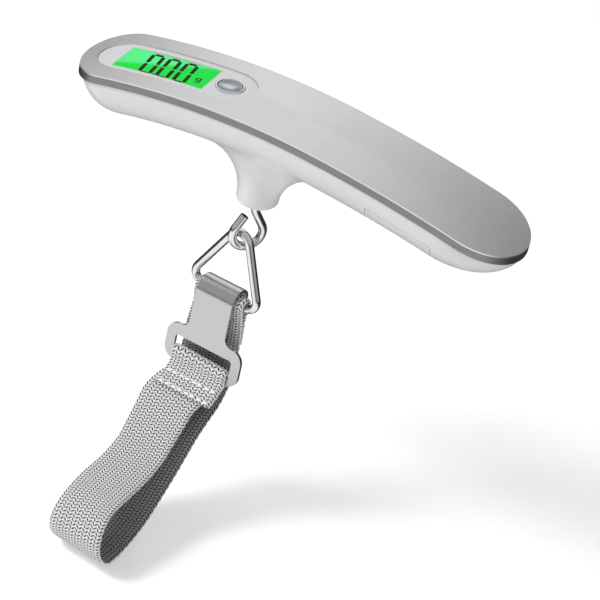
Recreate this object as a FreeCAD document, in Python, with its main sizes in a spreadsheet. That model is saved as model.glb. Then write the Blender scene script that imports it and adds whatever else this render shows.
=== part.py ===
import FreeCAD, Part
import Sketcher
import math
import os

# Digital luggage scale, in millimetres.
# +X runs along the handle towards its battery end, -Y is the display's near side
# and +Z is up. The origin is on top of the handle, on the neck's axis.

Vector = FreeCAD.Vector
Rotation = FreeCAD.Rotation
Placement = FreeCAD.Placement
UP = Vector(0, 0, 1)

SIZES = (
    # the arched handle
    ("radius_left", 250, "arch radius over the display and the neck"),
    ("radius_right", 440, "flatter arch radius over the battery end"),
    ("arch_join", 20, "arc length from the neck axis to where the two radii meet"),
    ("left_length", 68.4, "arc length from the neck axis to the display end"),
    ("right_length", 91.4, "arc length from the neck axis to the battery end"),
    ("handle_width", 34, "width of the top plate"),
    ("left_cap", 12.5, "length of the rounded display end"),
    ("right_cap", 17.5, "length of the rounded battery end"),
    ("plate_thick", 0.5, "metal top plate"),
    ("band_bottom", 3.0, "depth of the dark band's lower edge"),
    ("deck_thick", 1.6, "frame deck under the plate"),
    ("housing_left_cap", 15, "length over which the housing tapers at the display end"),
    ("housing_right_cap", 25, "length over which the housing tapers at the battery end"),
    ("housing_inset", 0.4, "housing stands in from the band by this"),
    ("housing_depth", 15.8, "depth of the rounded housing below the band"),
    ("wall", 1.8, "housing wall"),
    # the neck and its boss
    ("neck_radius", 7.0, "neck above the hook"),
    ("neck_bottom", 36.8, "depth of the neck's lower face"),
    ("neck_flare", 16, "fillet between neck and housing"),
    ("neck_rim", 1.6, "rounding of the neck's lower rim"),
    ("neck_bore", 4.0, "radius of the bore in the neck"),
    # window, display and button
    ("window_start", -63.7, "arc length of the window's left end"),
    ("window_end", -7.9, "arc length of the window's right end"),
    ("window_width", 19.4, "width of the stadium window"),
    ("display_start", -55.8, "arc length of the glass's left edge"),
    ("display_end", -23.5, "arc length of the glass's right edge"),
    ("display_width", 14.5, "width of the visible glass"),
    ("button_at", -16.8, "arc length of the button's centre"),
    ("button_radius", 3.95, "moving chrome button"),
    ("ring_radius", 4.75, "outer radius of the ring round the button"),
    # battery
    ("battery_at", 55, "arc length of the coin cell's axis"),
    ("cell_radius", 10, "coin cell"),
    ("cell_thick", 3.2, "coin cell"),
    ("door_length", 24, "battery door along the handle"),
    ("door_top", 9.2, "depth of the door's upper edge"),
    ("door_gap", 0.15, "seam round the door"),
    # load path
    ("beam_height", 6, "load cell beam"),
    ("beam_width", 12, "load cell beam"),
    ("beam_bottom", 15.6, "depth of the beam's lower face"),
    ("beam_left", -7, "beam end over the neck"),
    ("beam_right", 35, "fixed beam end"),
    ("wire", 2.9, "hook and ring wire diameter"),
    ("bowl_radius", 5.3, "hook bowl, to the wire's centre"),
    ("bowl_height", -49.6, "height of the bowl's centre"),
    ("bowl_offset", -0.9, "bowl centre from the neck axis in the hook's plane"),
    ("hook_turn", 50, "angle of the hook's plane from +X"),
    # ring, buckle and strap hang in a plane turned by hang_turn
    ("hang_turn", -7, "angle of the ring's bar from +X"),
    ("ring_tilt", 3.5, "forward tilt of the ring"),
    ("ring_half", 14.4, "half of the ring's bar, to the sharp corner"),
    ("ring_height", 30.3, "sharp apex to bar"),
    ("apex_bend", 4.0, "bend radius at the apex"),
    ("corner_bend", 3.5, "bend radius at the bar's corners"),
    ("buckle_half", 7.2, "half width of the buckle's shank"),
    ("ear_half", 14.8, "half width across the buckle's ears"),
    ("buckle_thick", 1.2, "buckle sheet"),
    ("curl_radius", 3.6, "inside radius of the buckle's curl"),
    ("slot_half", 11.3, "half width of the buckle's slot"),
    ("slot_top", 19, "slot below the bar's axis"),
    ("slot_bottom", 24.6, "slot below the bar's axis"),
    ("buckle_end", 28.6, "buckle's lower edge below the bar's axis"),
    ("buckle_tilt", 5, "forward tilt of the buckle"),
    ("buckle_roll", 2.5, "turn of the buckle in its own plane"),
    ("web_width", 21.6, "webbing"),
    ("web_thick", 1.4, "webbing"),
)

doc = FreeCAD.newDocument("luggage_scale")
sheet = doc.addObject("Spreadsheet::Sheet", "sizes")
for row, (alias, value, note) in enumerate(SIZES, start=1):
    sheet.set(f"A{row}", alias)
    sheet.set(f"B{row}", str(value))
    sheet.set(f"C{row}", note)
    sheet.setAlias(f"B{row}", alias)
doc.recompute()

pieces = []


def size(alias):
    return float(sheet.get(alias))


# ---------------------------------------------------------------- arch geometry
R_LEFT = size("radius_left")
R_RIGHT = size("radius_right")
JOIN_ANGLE = size("arch_join") / R_LEFT
CENTRE_LEFT = Vector(0, 0, -R_LEFT)
CENTRE_RIGHT = Vector((R_LEFT - R_RIGHT) * math.sin(JOIN_ANGLE), 0,
                      -R_LEFT + (R_LEFT - R_RIGHT) * math.cos(JOIN_ANGLE))
HALF_WIDTH = size("handle_width") / 2
BAND = size("band_bottom")
CLEAR = 60


def arch_angle(length):
    if length <= size("arch_join"):
        return length / R_LEFT
    return JOIN_ANGLE + (length - size("arch_join")) / R_RIGHT


def arch_point(length, depth=0.0):
    """A point at an arc length from the neck axis, a depth below the plate's top."""
    angle = arch_angle(length)
    if length <= size("arch_join"):
        centre, radius = CENTRE_LEFT, R_LEFT
    else:
        centre, radius = CENTRE_RIGHT, R_RIGHT
    return centre + Vector(math.sin(angle), 0, math.cos(angle)) * (radius - depth)


def arch_placement(length, depth=0.0):
    """Local X along the handle, Y across it and Z square to the plate."""
    turn = Rotation(Vector(0, 1, 0), math.degrees(arch_angle(length)))
    return Placement(arch_point(length, depth), turn)


def arch_slab(top, bottom):
    """The whole layer between two depths, wider and longer than the handle."""
    start = -(size("left_length") + 15)
    join = size("arch_join")
    end = size("right_length") + 15

    def arcs(depth):
        left = Part.Arc(arch_point(start, depth), arch_point(0, depth), arch_point(join, depth))
        middle = (join + end) / 2
        right = Part.Arc(arch_point(join, depth), arch_point(middle, depth), arch_point(end, depth))
        return [left.toShape(), right.toShape()]

    upper = arcs(top)
    lower = arcs(bottom)
    sides = [Part.makeLine(arch_point(at, top), arch_point(at, bottom)) for at in (start, end)]
    wire = Part.Wire(Part.__sortEdges__(upper + lower + sides))
    face = Part.Face(wire)
    face.translate(Vector(0, -CLEAR / 2, 0))
    return face.extrude(Vector(0, CLEAR, 0))


def plan_prism(inset):
    """Vertical prism over the handle's outline: straight sides and two half ellipses."""
    half = HALF_WIDTH - inset
    left_end = arch_point(-size("left_length")).x
    right_end = arch_point(size("right_length")).x
    left_centre = left_end + size("left_cap")
    right_centre = right_end - size("right_cap")
    edges = []
    for centre, cap, side in ((left_centre, size("left_cap"), -1), (right_centre, size("right_cap"), 1)):
        axis = Vector(centre, 0, 0)
        tip = Vector(centre + side * (cap - inset), 0, 0)
        side_point = Vector(centre, half, 0)
        if half >= cap - inset:
            ellipse = Part.Ellipse(side_point, tip, axis)
            first, last = (0, math.pi)
        else:
            ellipse = Part.Ellipse(tip, side_point, axis)
            first, last = (-math.pi / 2, math.pi / 2)
        arc = Part.ArcOfEllipse(ellipse, first, last).toShape()
        if (arc.valueAt((arc.FirstParameter + arc.LastParameter) / 2).x - centre) * side < 0:
            arc = Part.ArcOfEllipse(ellipse, last, first + 2 * math.pi).toShape()
        edges.append(arc)
    for side in (-1, 1):
        edges.append(Part.makeLine(Vector(left_centre, side * half, 0), Vector(right_centre, side * half, 0)))
    face = Part.Face(Part.Wire(Part.__sortEdges__(edges)))
    face.translate(Vector(0, 0, -CLEAR))
    return face.extrude(Vector(0, 0, CLEAR * 1.5))


def layer(top, bottom, inset):
    return arch_slab(top, bottom).common(plan_prism(inset))


def section_sweep(half, depth, left_cap, right_cap):
    """Elliptical bar along the arch with ellipsoid ends, centred on the band's lower edge."""
    def half_ellipse_bar(start, end, centre):
        major, minor = Vector(half, 0, 0), Vector(0, depth, 0)
        if half < depth:
            major, minor = minor, major
        ellipse = Part.Ellipse(major, minor, Vector(0, 0, 0)).toShape()
        face = Part.Face(Part.Wire([ellipse]))
        face.rotate(Vector(0, 0, 0), Vector(1, 1, 1), 120)
        placed = arch_placement(start, BAND)
        face.Placement = placed.multiply(face.Placement)
        turn = math.degrees(arch_angle(end) - arch_angle(start))
        return face.revolve(centre, Vector(0, 1, 0), turn)

    left_start = -(size("left_length") - size("housing_left_cap"))
    right_end = size("right_length") - size("housing_right_cap")
    join = size("arch_join")
    shape = half_ellipse_bar(left_start, join, CENTRE_LEFT)
    shape = shape.fuse(half_ellipse_bar(join, right_end, CENTRE_RIGHT))
    for at, cap in ((left_start, left_cap), (right_end, right_cap)):
        end = end_ellipsoid(cap, half, depth)
        end.Placement = arch_placement(at, BAND)
        shape = shape.fuse(end)
    return shape


def end_ellipsoid(cap, half, depth):
    """Half an ellipse turned about Y, then stretched along X to the cap's length."""
    ellipse = Part.Ellipse(Vector(0, half, 0), Vector(depth, 0, 0), Vector(0, 0, 0))
    if half < depth:
        ellipse = Part.Ellipse(Vector(depth, 0, 0), Vector(0, half, 0), Vector(0, 0, 0))
    first = ellipse.parameter(Vector(0, half, 0))
    arc = Part.ArcOfEllipse(ellipse, first, first + math.pi).toShape()
    ends = (arc.valueAt(arc.LastParameter), arc.valueAt(arc.FirstParameter))
    face = Part.Face(Part.Wire([arc, Part.makeLine(*ends)]))
    solid = face.revolve(Vector(0, 0, 0), Vector(0, 1, 0), 360)
    stretch = FreeCAD.Matrix()
    stretch.scale(cap / depth, 1, 1)
    return solid.transformGeometry(stretch)


def stadium(start, end, width, top, bottom):
    """Prism with round ends over an arc length of the handle, square to its middle."""
    middle = (start + end) / 2
    half = (end - start) / 2 - width / 2
    box = Part.makeBox(2 * half, width, bottom - top, Vector(-half, -width / 2, -bottom))
    shape = box
    for side in (-1, 1):
        shape = shape.fuse(Part.makeCylinder(width / 2, bottom - top, Vector(side * half, 0, -bottom)))
    shape = shape.removeSplitter()
    shape.Placement = arch_placement(middle)
    return shape


# ---------------------------------------------------------------- document helpers
def add_shape(name, shape, placement=None):
    """A sub-part whose shape is worked out here from the sheet."""
    piece = doc.addObject("Part::Feature", name)
    piece.Label = name
    piece.Shape = shape
    if placement is not None:
        piece.Placement = placement.multiply(shape.Placement)
    pieces.append(piece)
    return piece


def new_body(name, placement=None):
    body = doc.addObject("PartDesign::Body", name)
    body.Label = name
    if placement is not None:
        body.Placement = placement
    pieces.append(body)
    return body


def new_sketch(body, name, role):
    sketch = body.newObject("Sketcher::SketchObject", name)
    plane = next(item for item in body.Origin.OriginFeatures if item.Role == role)
    sketch.AttachmentSupport = [(plane, "")]
    sketch.MapMode = "FlatFace"
    return sketch


def bind(sketch, constraint, label, expression):
    index = sketch.addConstraint(constraint)
    sketch.renameConstraint(index, label)
    sketch.setExpression(f"Constraints.{label}", expression)


def add_circle(sketch, radius, centre=None):
    """A circle whose radius, and centre along X, follow the sheet."""
    index = sketch.addGeometry(Part.Circle(Vector(0, 0, 0), UP, 1))
    bind(sketch, Sketcher.Constraint("Radius", index, 1), f"radius{index}", radius)
    if centre is None:
        sketch.addConstraint(Sketcher.Constraint("Coincident", index, 3, -1, 1))
    else:
        sketch.addConstraint(Sketcher.Constraint("PointOnObject", index, 3, -1))
        bind(sketch, Sketcher.Constraint("DistanceX", -1, 1, index, 3, 1), f"across{index}", centre)
    return index


def add_rectangle(sketch, left, right, low, high):
    """A rectangle reaching four distances from the origin, each a sheet expression."""
    corners = (Vector(-1, -1, 0), Vector(1, -1, 0), Vector(1, 1, 0), Vector(-1, 1, 0))
    first = sketch.GeometryCount
    for number in range(4):
        sketch.addGeometry(Part.LineSegment(corners[number], corners[(number + 1) % 4]))
    for number in range(4):
        here, after = first + number, first + (number + 1) % 4
        sketch.addConstraint(Sketcher.Constraint("Coincident", here, 2, after, 1))
        kind = "Horizontal" if number % 2 == 0 else "Vertical"
        sketch.addConstraint(Sketcher.Constraint(kind, here))
    bind(sketch, Sketcher.Constraint("DistanceX", first, 1, -1, 1, 1), f"left{first}", left)
    bind(sketch, Sketcher.Constraint("DistanceX", -1, 1, first, 2, 1), f"right{first}", right)
    bind(sketch, Sketcher.Constraint("DistanceY", first, 1, -1, 1, 1), f"low{first}", low)
    bind(sketch, Sketcher.Constraint("DistanceY", -1, 1, first + 1, 2, 1), f"high{first}", high)


def pad(body, sketch, length, midplane=False, reverse=False):
    feature = body.newObject("PartDesign::Pad", sketch.Name + "_pad")
    feature.Profile = sketch
    feature.setExpression("Length", length)
    feature.Midplane = midplane
    feature.Reversed = reverse
    sketch.Visibility = False
    doc.recompute()
    return feature


def pocket(body, sketch, midplane=True):
    """A cut right through the body both ways, checked by its volume."""
    doc.recompute()
    before = body.Tip.Shape.Volume
    feature = body.newObject("PartDesign::Pocket", sketch.Name + "_pocket")
    feature.Profile = sketch
    feature.Type = "ThroughAll"
    feature.Midplane = midplane
    doc.recompute()
    if feature.Shape.Volume > before - 1e-6:
        raise RuntimeError(f"{sketch.Name} cuts nothing")
    return feature


def disc_body(name, radius, height, placement, bore=None):
    """A round plate or bush standing on its placement, with an optional bore."""
    body = new_body(name, placement)
    sketch = new_sketch(body, name + "_outline", "XY_Plane")
    add_circle(sketch, radius)
    if bore is not None:
        add_circle(sketch, bore)
    pad(body, sketch, height)
    return body


def block_body(name, left, right, low, high, height, placement):
    body = new_body(name, placement)
    sketch = new_sketch(body, name + "_outline", "XY_Plane")
    add_rectangle(sketch, left, right, low, high)
    pad(body, sketch, height)
    return body


# ---------------------------------------------------------------- handle shells
HOUSING_SCREWS = ((10, 11), (10, -11), (76, 0))


def window_prism(grow, top, bottom):
    start = size("window_start") - grow
    end = size("window_end") + grow
    return stadium(start, end, size("window_width") + 2 * grow, top, bottom)


def button_cylinder(radius, top, bottom):
    return Part.makeCylinder(radius, bottom - top, arch_placement(size("button_at")).multVec(
        Vector(0, 0, -bottom)), arch_placement(size("button_at")).Rotation.multVec(UP))


def glass_box(grow, top, bottom):
    """The visible display area as a prism square to the plate at its middle."""
    half = (size("display_end") - size("display_start")) / 2 + grow
    width = size("display_width") / 2 + grow
    box = Part.makeBox(2 * half, 2 * width, bottom - top, Vector(-half, -width, -bottom))
    box.Placement = arch_placement((size("display_start") + size("display_end")) / 2)
    return box


def make_top_plate():
    plate = layer(0, size("plate_thick"), 0)
    plate = plate.cut(window_prism(0, -5, 8))
    add_shape("top_plate", plate)


def make_upper_frame():
    """The dark band round the plate, with the deck that carries plate, board and tray."""
    top = size("plate_thick")
    under_deck = top + size("deck_thick")
    frame = layer(top, BAND, 0)
    frame = frame.cut(layer(under_deck, BAND + 1, size("housing_inset") + size("wall")))
    frame = frame.cut(arch_slab(-2, PANEL_BOTTOM).common(window_prism(0.05, -5, 9)))
    frame = frame.cut(window_prism(-1.2, -5, 9))
    room = arch_slab(under_deck - 0.1, CLEAR)
    board = arch_placement(BOARD_MIDDLE, BOARD_TOP)
    for across, along in BOARD_POSTS:
        frame = frame.fuse(post(board, along, across, 0.1, 9, 1.7).common(room))
        frame = frame.cut(post(board, along, across, 0, 3, 0.95))
    tray = arch_placement(size("battery_at"))
    for side in (-1, 1):
        frame = frame.fuse(post(tray, side * TRAY_POST, 0, -TRAY_ROOF + 0.1, 2, 1.9).common(room))
        frame = frame.fuse(post(tray, side * TRAY_POST, 0, -CELL_TOP + 0.1, 2, 0.95).common(room))
    for at, across in HOUSING_SCREWS:
        frame = frame.cut(post(arch_placement(at), 0, across, -BAND, 2, 1.1))
        frame = frame.cut(countersink(at, across))
    add_shape("upper_frame", frame)


def post(placement, along, across, low, high, radius):
    """A round post or hole square to a placement, between two heights in it."""
    cylinder = Part.makeCylinder(radius, high - low, Vector(along, across, low))
    cylinder.Placement = placement
    return cylinder


def countersink(at, across):
    top = size("plate_thick")
    cone = Part.makeCone(0.9, 2.0, 1.1, Vector(0, across, -top - 1.18))
    cone.Placement = arch_placement(at)
    return cone


def make_housing_screws():
    """Countersunk screws under the plate that draw the housing up to the frame."""
    screws = []
    for at, across in HOUSING_SCREWS:
        shank = post(arch_placement(at), 0, across, -10, -size("plate_thick") - 0.5, 0.9)
        screws.append(shank.fuse(countersink(at, across)))
    add_shape("housing_screws", Part.makeCompound(screws))


def make_housing():
    """Rounded lower shell with the flared neck; the battery door is cut from the same shell."""
    half = HALF_WIDTH - size("housing_inset")
    wall = size("wall")
    depth = size("housing_depth")
    left, right = size("housing_left_cap"), size("housing_right_cap")
    outer = section_sweep(half, depth, left, right)
    inner = section_sweep(half - wall, depth - wall, left - wall, right - wall)
    below = arch_slab(BAND, CLEAR)
    outer = outer.common(below).removeSplitter()
    bottom = size("neck_bottom")
    neck = Part.makeCylinder(size("neck_radius"), bottom - 8, Vector(0, 0, -bottom))
    outer = outer.fuse(neck)
    seam = [edge for edge in outer.Edges if is_neck_seam(edge)]
    outer = outer.makeFillet(size("neck_flare"), seam)
    rim = [edge for edge in outer.Edges if abs(edge.BoundBox.ZMax + bottom) < 0.01]
    outer = outer.makeFillet(size("neck_rim"), rim)
    shell = outer.cut(inner)
    shell = shell.cut(Part.makeCylinder(size("neck_bore"), bottom, Vector(0, 0, -bottom)))
    cutter = door_cutter(0)
    housing = shell.cut(cutter)
    for at in BEAM_SCREWS:
        boss = Part.makeCylinder(3.2, 6, Vector(at, 0, -size("beam_bottom") - 6))
        housing = housing.fuse(boss.common(outer))
        housing = housing.cut(Part.makeCylinder(1.5, 3.4, Vector(at, 0, -size("beam_bottom") - 3.4)))
    under_deck = size("plate_thick") + size("deck_thick")
    room = arch_slab(under_deck + 0.05, CLEAR).common(section_sweep(half, depth, left, right))
    for at, across in HOUSING_SCREWS:
        housing = housing.fuse(post(arch_placement(at), 0, across, -30, 0, 2.4).common(room))
        housing = housing.cut(post(arch_placement(at), 0, across, -10.5, 0, 0.95))
    door = shell.common(door_cutter(size("door_gap")))
    add_shape("lower_housing", housing)
    add_shape("battery_door", door)


def is_neck_seam(edge):
    """The closed curve where the neck's cylinder meets the rounded housing."""
    if edge.Degenerated:
        return False
    radius = size("neck_radius")
    points = edge.discretize(5)
    round_neck = all(abs(math.hypot(point.x, point.y) - radius) < 0.02 for point in points)
    return round_neck and all(-24 < point.z < -12 for point in points)


def door_cutter(gap):
    length = size("door_length") - 2 * gap
    box = Part.makeBox(length, CLEAR, CLEAR, Vector(-length / 2, -CLEAR / 2, -CLEAR - size("door_top") - gap))
    box.Placement = arch_placement(size("battery_at"))
    return box


# ---------------------------------------------------------------- display, board and button
LENS_TOP, LENS_BOTTOM = 0.12, 0.42
PANEL_TOP, PANEL_BOTTOM = 0.45, 1.05
GLASS_TOP, GLASS_THICK = 1.0, 1.6
LIGHT_TOP, LIGHT_THICK = 2.65, 1.7
BOARD_TOP, BOARD_THICK = 6.4, 1.2
BOARD_MIDDLE, BOARD_HALF, BOARD_HALF_WIDTH = -34, 25, 12.4
BOARD_POSTS = ((-10.9, -22.5), (10.9, -22.5), (-10.9, 22.5), (10.9, 22.5))
RING_TOP = 0.05
STEM_BOTTOM = 3.2


def window_layer(top, bottom, gap):
    prism = window_prism(-gap, -5, 9)
    return arch_slab(top, bottom).common(prism)


def make_window():
    lens = window_layer(LENS_TOP, LENS_BOTTOM, 0.05)
    panel = window_layer(PANEL_TOP, PANEL_BOTTOM, 0.05)
    hole = button_cylinder(size("ring_radius") + 0.05, -2, 6)
    add_shape("window_lens", lens.cut(hole))
    add_shape("display_panel", panel.cut(hole).cut(glass_box(0, -3, 6)))


def make_display_stack():
    middle = (size("display_start") + size("display_end")) / 2
    half = "(sizes.display_end - sizes.display_start) / 2 - 0.06"
    wide = "sizes.display_width / 2 - 0.06"
    block_body("lcd_glass", half, half, wide, wide, str(GLASS_THICK),
               arch_placement(middle, GLASS_TOP + GLASS_THICK))
    narrow = "sizes.display_width / 2 - 1.6"
    block_body("backlight_panel", half, half, narrow, narrow, str(LIGHT_THICK),
               arch_placement(middle, LIGHT_TOP + LIGHT_THICK))
    gap_top = GLASS_TOP + GLASS_THICK
    board = arch_placement(BOARD_MIDDLE, BOARD_TOP)
    strips = []
    for side in (-1, 1):
        strip = Part.makeBox(30, 1.2, 8, Vector(-15, side * 6.45 - 0.6, -gap_top - 8))
        strip.Placement = arch_placement(middle)
        above = Part.makeBox(80, 40, 12, Vector(-40, -20, 0))
        above.Placement = board
        strips.append(strip.common(above))
    add_shape("zebra_strips", Part.makeCompound(strips))


def make_board():
    place = arch_placement(BOARD_MIDDLE, BOARD_TOP + BOARD_THICK)
    body = block_body("main_board", str(BOARD_HALF), str(BOARD_HALF), str(BOARD_HALF_WIDTH),
                      str(BOARD_HALF_WIDTH), str(BOARD_THICK), place)
    holes = new_sketch(body, "board_holes", "XY_Plane")
    for across, along in BOARD_POSTS:
        index = holes.addGeometry(Part.Circle(Vector(along, across, 0), UP, 1.1))
        holes.addConstraint(Sketcher.Constraint("Block", index))
    pocket(body, holes)
    chip_place = place.multiply(Placement(Vector(-6, 0, -1.3), Rotation()))
    disc_body("controller_chip", "4.5", "1.3", chip_place)
    screws = [screw(Vector(along, across, 0), 0.9, 3.4, 1.8, 1.1) for across, along in BOARD_POSTS]
    turned = place.multiply(Placement(Vector(0, 0, 0), Rotation(Vector(1, 0, 0), 180)))
    add_shape("board_screws", Part.makeCompound(screws), turned)


def screw(at, radius, length, head_radius, head_height):
    """A pan screw standing on z = 0 at a point, its thread downward and a cross in its head."""
    shank = Part.makeCylinder(radius, length, at - Vector(0, 0, length))
    head = Part.makeCylinder(head_radius, head_height, at)
    for turn in (0, 90):
        slot = Part.makeBox(head_radius * 1.2, 0.4, head_height / 2)
        slot.translate(Vector(-head_radius * 0.6, -0.2, head_height / 2))
        slot.rotate(Vector(0, 0, 0), UP, turn)
        slot.translate(at)
        head = head.cut(slot)
    return shank.fuse(head)


def make_button():
    """Chrome ring, dished push button with a flange and stem, and the switch it presses."""
    place = arch_placement(size("button_at"))
    radius = size("button_radius")
    ring_outer = size("ring_radius")
    ring = Part.makeCylinder(ring_outer, PANEL_BOTTOM - RING_TOP, Vector(0, 0, -PANEL_BOTTOM))
    ring = ring.makeFillet(0.3, [ring.Edges[0]])
    ring = ring.cut(Part.makeCylinder(radius + 0.12, 4, Vector(0, 0, -3)))
    add_shape("button_ring", ring, place)
    cap = Part.makeCylinder(radius, 1.9, Vector(0, 0, -2.1))
    dish = Part.makeSphere(9, Vector(0, 0, 8.35))
    cap = cap.cut(dish)
    flange = Part.makeCylinder(radius + 0.6, 0.5, Vector(0, 0, -2.4))
    stem = Part.makeCylinder(1.3, STEM_BOTTOM - 2, Vector(0, 0, -STEM_BOTTOM))
    add_shape("power_button", cap.fuse([flange, stem]).removeSplitter(), place)
    switch_place = arch_placement(BOARD_MIDDLE, BOARD_TOP)
    across = size("button_at") - BOARD_MIDDLE
    base = Part.makeBox(5, 5, 1.1, Vector(across - 2.5, -2.5, 0))
    plunger = Part.makeCylinder(1.4, 0.5, Vector(across, 0, 1.1))
    add_shape("tact_switch", base.fuse(plunger), switch_place)


# ---------------------------------------------------------------- load path
BEAM_SCREWS = (24.5, 31)
GAUGE_AT = 12


def make_load_cell():
    place = Placement(Vector(0, 0, -size("beam_bottom")), Rotation())
    body = block_body("load_cell", "-sizes.beam_left", "sizes.beam_right", "sizes.beam_width / 2",
                      "sizes.beam_width / 2", "sizes.beam_height", place)
    windows = new_sketch(body, "beam_windows", "XZ_Plane")
    for offset in (-3.2, 3.2):
        index = windows.addGeometry(Part.Circle(Vector(GAUGE_AT + offset, 3, 0), UP, 2.1))
        windows.addConstraint(Sketcher.Constraint("Block", index))
    pocket(body, windows)
    holes = new_sketch(body, "beam_holes", "XY_Plane")
    add_circle(holes, "sizes.wire / 2 + 0.35")
    for at in BEAM_SCREWS:
        index = holes.addGeometry(Part.Circle(Vector(at, 0, 0), UP, 1.65))
        holes.addConstraint(Sketcher.Constraint("Block", index))
    pocket(body, holes)
    top = size("beam_height") - size("beam_bottom")
    screws = [screw(Vector(at, 0, top), 1.45, size("beam_height") + 3, 2.8, 1.8) for at in BEAM_SCREWS]
    add_shape("beam_screws", Part.makeCompound(screws))
    patches = [Part.makeBox(6, 4, 0.15, Vector(GAUGE_AT - 3, -2, top)),
               Part.makeBox(6, 4, 0.15, Vector(GAUGE_AT - 3, -2, -size("beam_bottom") - 0.15))]
    add_shape("strain_gauges", Part.makeCompound(patches))
    washer_place = Placement(Vector(0, 0, top), Rotation())
    disc_body("thrust_washer", "3.2", "0.6", washer_place, "sizes.wire / 2 + 0.3")
    bush_place = Placement(Vector(0, 0, 0.4 - size("neck_bottom")), Rotation())
    disc_body("neck_bush", "sizes.neck_bore", "7", bush_place, "sizes.wire / 2 + 0.07")


def tube(path, diameter):
    """Round wire along a path of tangent lines and arcs."""
    wire = Part.Wire(path)
    start = wire.Edges[0].valueAt(wire.Edges[0].FirstParameter)
    along = wire.Edges[0].tangentAt(wire.Edges[0].FirstParameter)
    circle = Part.Wire([Part.Circle(start, along, diameter / 2).toShape()])
    return wire.makePipeShell([circle], True, True)


def rounded_path(corners, radii, closed=False):
    """Lines through the corners, with a tangent arc of its radius at each."""
    count = len(corners)
    joins = []
    for number, corner in enumerate(corners):
        if not closed and number in (0, count - 1):
            joins.append((corner, None, corner))
            continue
        back = (corners[number - 1] - corner).normalize()
        ahead = (corners[(number + 1) % count] - corner).normalize()
        half = back.getAngle(ahead) / 2
        reach = radii[number] / math.tan(half)
        bisector = (back + ahead).normalize()
        middle = corner + bisector * (radii[number] / math.sin(half) - radii[number])
        joins.append((corner + back * reach, middle, corner + ahead * reach))
    edges = []
    last = count if closed else count - 1
    for number in range(count):
        start, middle, end = joins[number]
        if middle is not None:
            edges.append(Part.Arc(start, middle, end).toShape())
        if number < last:
            edges.append(Part.makeLine(end, joins[(number + 1) % count][0]))
    return edges


def bowl_tangent(outside, centre, radius, side):
    """Where a line from an outside point touches the bowl, on its right (1) or left (-1)."""
    away = outside - centre
    lean = math.acos(radius / away.Length)
    base = math.atan2(away.z, away.x)
    angle = base - side * lean
    return centre + Vector(math.cos(angle), 0, math.sin(angle)) * radius


def make_hook():
    """Wire hook: a shank down the neck, a round bowl and a free end leaning back to the shank."""
    radius = size("bowl_radius")
    centre = Vector(size("bowl_offset"), 0, size("bowl_height"))
    top = Vector(0, 0, SHANK_TOP)
    bend = Vector(0, 0, -40.6)
    tip = Vector(-3.1, 0, -42.7)
    right = bowl_tangent(bend, centre, radius, 1)
    left = bowl_tangent(tip, centre, radius, -1)
    path = rounded_path([top, bend, right], [0, 5, 0])
    lowest = centre - Vector(0, 0, radius)
    path.append(Part.Arc(right, lowest, left).toShape())
    path.append(Part.makeLine(left, tip))
    turn = Placement(Vector(0, 0, 0), Rotation(UP, size("hook_turn")))
    add_shape("hook", tube(path, size("wire")), turn)
    flats = 5.5
    corners = [Vector(0, 0, 0) + Rotation(UP, 60 * number).multVec(Vector(flats / math.sqrt(3), 0, 0))
               for number in range(7)]
    nut = Part.Face(Part.makePolygon(corners)).extrude(Vector(0, 0, 2.4))
    nut = nut.cut(Part.makeCylinder(size("wire") / 2, 3))
    nut_height = size("beam_height") - size("beam_bottom") + 0.7
    add_shape("hook_nut", nut, Placement(Vector(0, 0, nut_height), Rotation(UP, 10)))


SHANK_TOP = -6.2


# ---------------------------------------------------------------- battery bay
TRAY_ROOF = 5.2
CELL_TOP = 6.6
TRAY_POST = 9.0


def make_battery():
    place = arch_placement(size("battery_at"))
    radius = size("cell_radius")
    thick = size("cell_thick")
    cell_bottom = CELL_TOP + thick
    cell_place = arch_placement(size("battery_at"), cell_bottom)
    cell = disc_body("coin_cell", "sizes.cell_radius", "sizes.cell_thick", cell_place)
    disc = cell.Tip
    rims = [f"Edge{number}" for number, edge in enumerate(disc.Shape.Edges, start=1) if len(edge.Vertexes) == 1]
    bevel = cell.newObject("PartDesign::Chamfer", "cell_bevel")
    bevel.Base = (disc, rims)
    bevel.Size = 0.4
    doc.recompute()
    tray = Part.makeCylinder(radius + 1.8, cell_bottom + 0.6 - TRAY_ROOF, Vector(0, 0, -cell_bottom - 0.6))
    tray = tray.cut(Part.makeCylinder(radius + 0.4, thick + 2, Vector(0, 0, -cell_bottom - 1.8)))
    for side in (-1, 1):
        lip = Part.makeBox(2.2, 5, 0.5, Vector(-1.1 + side * (radius - 0.4), -2.5, -cell_bottom - 0.6))
        tray = tray.fuse(lip)
    tray = tray.cut(Part.makeCylinder(1.05, 3, Vector(TRAY_POST, 0, -8)))
    tray = tray.cut(Part.makeCylinder(1.05, 3, Vector(-TRAY_POST, 0, -8)))
    add_shape("battery_tray", tray, place)
    leaf = Part.makeBox(12, 4, 0.15, Vector(-6, -2, -CELL_TOP + 0.0))
    leaf = leaf.fuse(Part.makeCylinder(1.5, 0.15, Vector(0, 0, -CELL_TOP)))
    add_shape("contact_negative", leaf, place)
    clip = Part.makeCylinder(radius + 0.35, thick - 0.4, Vector(0, 0, -cell_bottom + 0.2))
    clip = clip.cut(Part.makeCylinder(radius + 0.05, thick, Vector(0, 0, -cell_bottom)))
    wedge = Part.makeBox(9, 12, 10, Vector(-4.5, 5, -cell_bottom - 3))
    add_shape("contact_positive", clip.common(wedge), place)


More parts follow.
